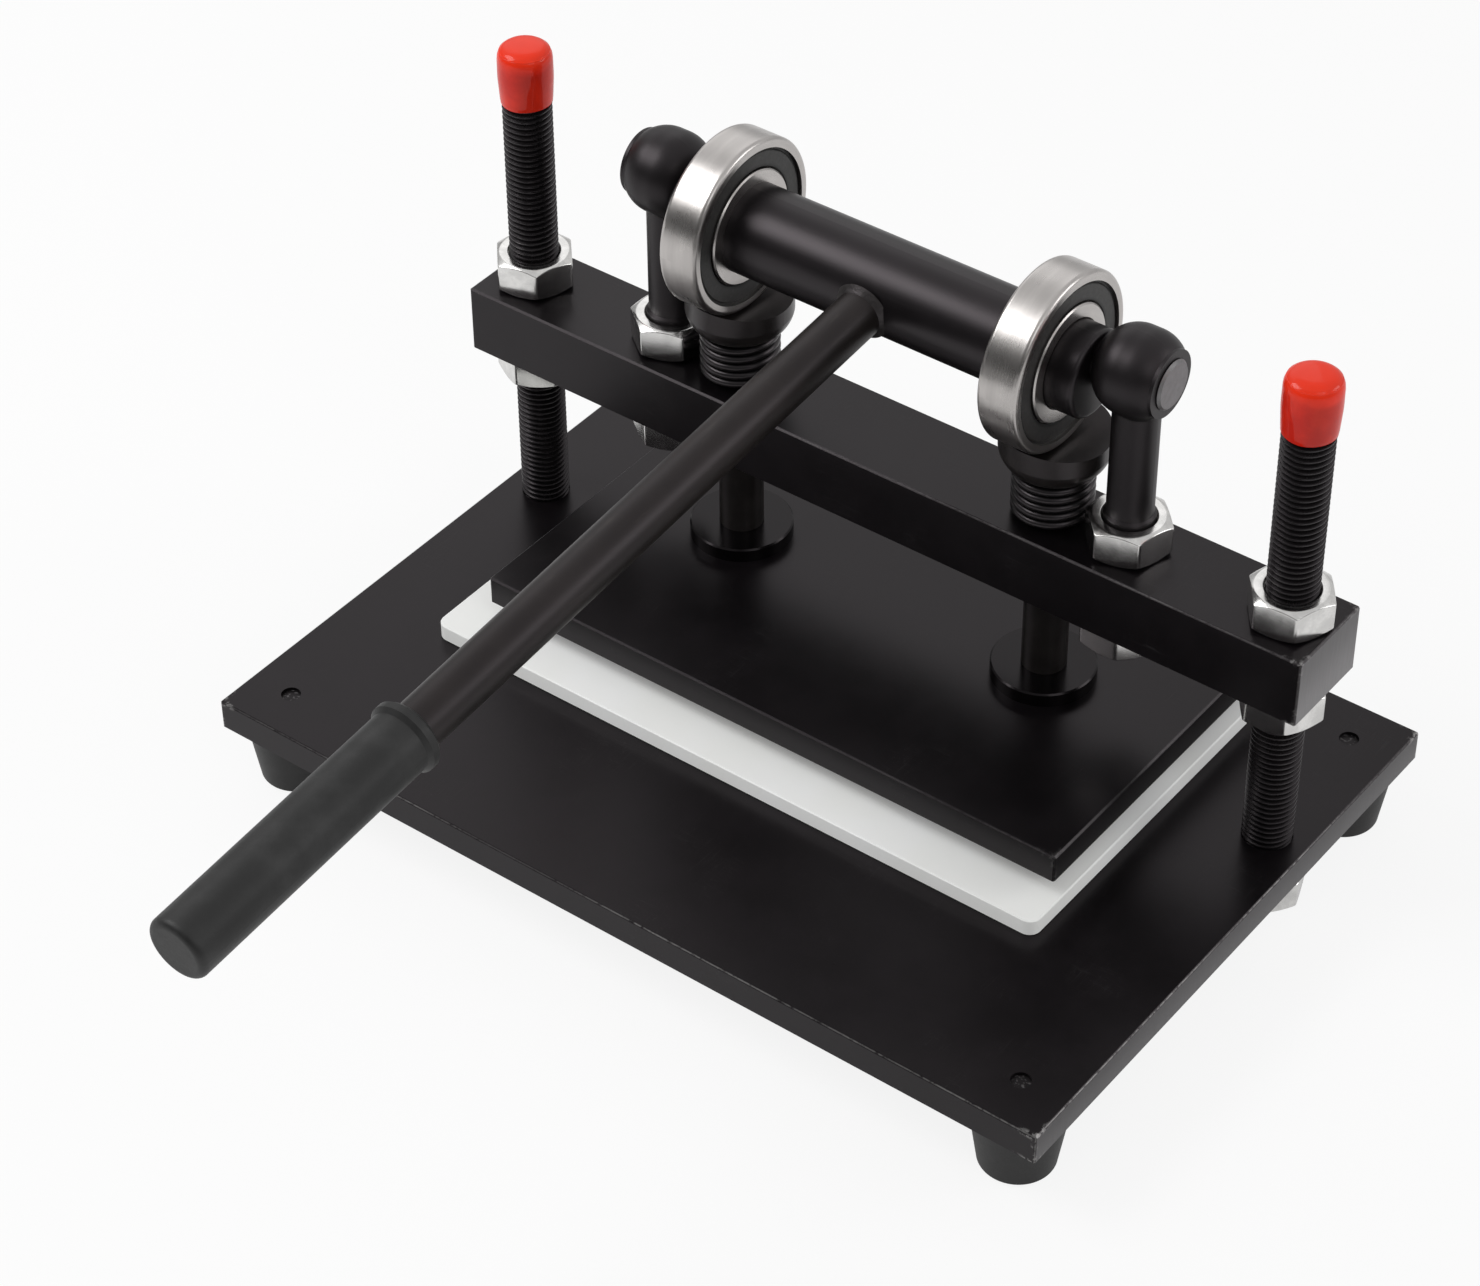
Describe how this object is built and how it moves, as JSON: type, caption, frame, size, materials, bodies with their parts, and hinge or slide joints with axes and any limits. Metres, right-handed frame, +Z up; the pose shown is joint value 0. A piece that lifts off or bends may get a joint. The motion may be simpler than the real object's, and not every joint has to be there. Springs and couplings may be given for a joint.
{
  "type": "hand lever embossing press",
  "caption": "Bench press: a lever turns an eccentric shaft whose bearings push two plungers and a flat plate down onto a board to emboss leather belts.",
  "frame": {"origin": "on the bench, under the middle of the base plate", "axes": "+Z up; +X along the cross beam, to the right as seen from the lever's side; -Y towards the operator, the way the lever points"},
  "size_m": [0.39, 0.4808, 0.2581],
  "materials": {
    "black_paint": "satin black paint, a little worn at the edges",
    "thread_black": "blackened thread",
    "shaft_black": "satin black with bare journals",
    "lever_black": "satin black paint",
    "weld_black": "painted weld",
    "eye_black": "satin black paint",
    "plunger_black": "glossy black",
    "spring_black": "black spring wire",
    "nut_zinc": "bright zinc",
    "screw_zinc": "zinc",
    "bearing_steel": "polished steel",
    "cage_steel": "pressed steel",
    "seal_rubber": "dark grey rubber",
    "grip_rubber": "matt black rubber",
    "foot_rubber": "matt black rubber",
    "cap_red": "glossy red soft plastic",
    "board_white": "white cutting plastic, slightly translucent"
  },
  "bodies": {
    "frame": {"base_plate": "black_paint", "foot_screws": "screw_zinc", "column_left": "thread_black", "column_cap_left": "cap_red", "base_nut_left": "nut_zinc", "column_right": "thread_black", "column_cap_right": "cap_red", "base_nut_right": "nut_zinc", "foot_front_left": "foot_rubber", "foot_rear_left": "foot_rubber", "foot_front_right": "foot_rubber", "foot_rear_right": "foot_rubber"},
    "crossbeam": {"beam": "black_paint", "column_nut_upper_left": "nut_zinc", "column_nut_lower_left": "nut_zinc", "rod_nut_upper_left": "nut_zinc", "rod_nut_lower_left": "nut_zinc", "eye_rod_left": "eye_black", "return_spring_left": "spring_black", "column_nut_upper_right": "nut_zinc", "column_nut_lower_right": "nut_zinc", "rod_nut_upper_right": "nut_zinc", "rod_nut_lower_right": "nut_zinc", "eye_rod_right": "eye_black", "return_spring_right": "spring_black"},
    "lever": {"eccentric_shaft": "shaft_black", "lever_bar": "lever_black", "lever_weld_bead": "weld_black", "lever_grip": "grip_rubber", "bearing_inner_ring_left": "bearing_steel", "bearing_balls_left": "bearing_steel", "bearing_cage_left": "cage_steel", "bearing_inner_ring_right": "bearing_steel", "bearing_balls_right": "bearing_steel", "bearing_cage_right": "cage_steel"},
    "bearing_ring_left": {"bearing_outer_ring_left": "bearing_steel", "bearing_seals_left": "seal_rubber"},
    "bearing_ring_right": {"bearing_outer_ring_right": "bearing_steel", "bearing_seals_right": "seal_rubber"},
    "press_head": {"press_plate": "black_paint", "plate_screws": "screw_zinc", "plunger_left": "plunger_black", "plunger_flange_left": "plunger_black", "plunger_right": "plunger_black", "plunger_flange_right": "plunger_black"},
    "board": {"cutting_board": "board_white"}
  },
  "joints": [
    {"name": "beam_height", "type": "slide", "parent": "frame", "child": "crossbeam", "axis": [0, 0, 1], "range_m": [-0.005, 0.065]},
    {"name": "lever_turn", "type": "hinge", "parent": "crossbeam", "child": "lever", "pos_m": [0, 0.049, 0.2275], "axis": [1, 0, 0], "range_deg": [-85, 12]},
    {"name": "press_slide", "type": "slide", "parent": "crossbeam", "child": "press_head", "axis": [0, 0, 1], "range_m": [-0.0013, 0.0086], "deforming": ["return_spring_left", "return_spring_right"]},
    {"name": "bearing_spin_left", "type": "hinge", "parent": "lever", "child": "bearing_ring_left", "pos_m": [-0.0724, 0.04437, 0.22198], "axis": [1, 0, 0], "continuous": true},
    {"name": "bearing_spin_right", "type": "hinge", "parent": "lever", "child": "bearing_ring_right", "pos_m": [0.0724, 0.04437, 0.22198], "axis": [1, 0, 0], "continuous": true},
    {"name": "board_slide", "type": "slide", "parent": "frame", "child": "board", "axis": [0, -1, 0], "range_m": [-0.006, 0.08]}
  ],
  "couplings": [
    {"joint": "press_slide", "follows": "lever_turn", "m_per_rad": -0.00573}
  ]
}
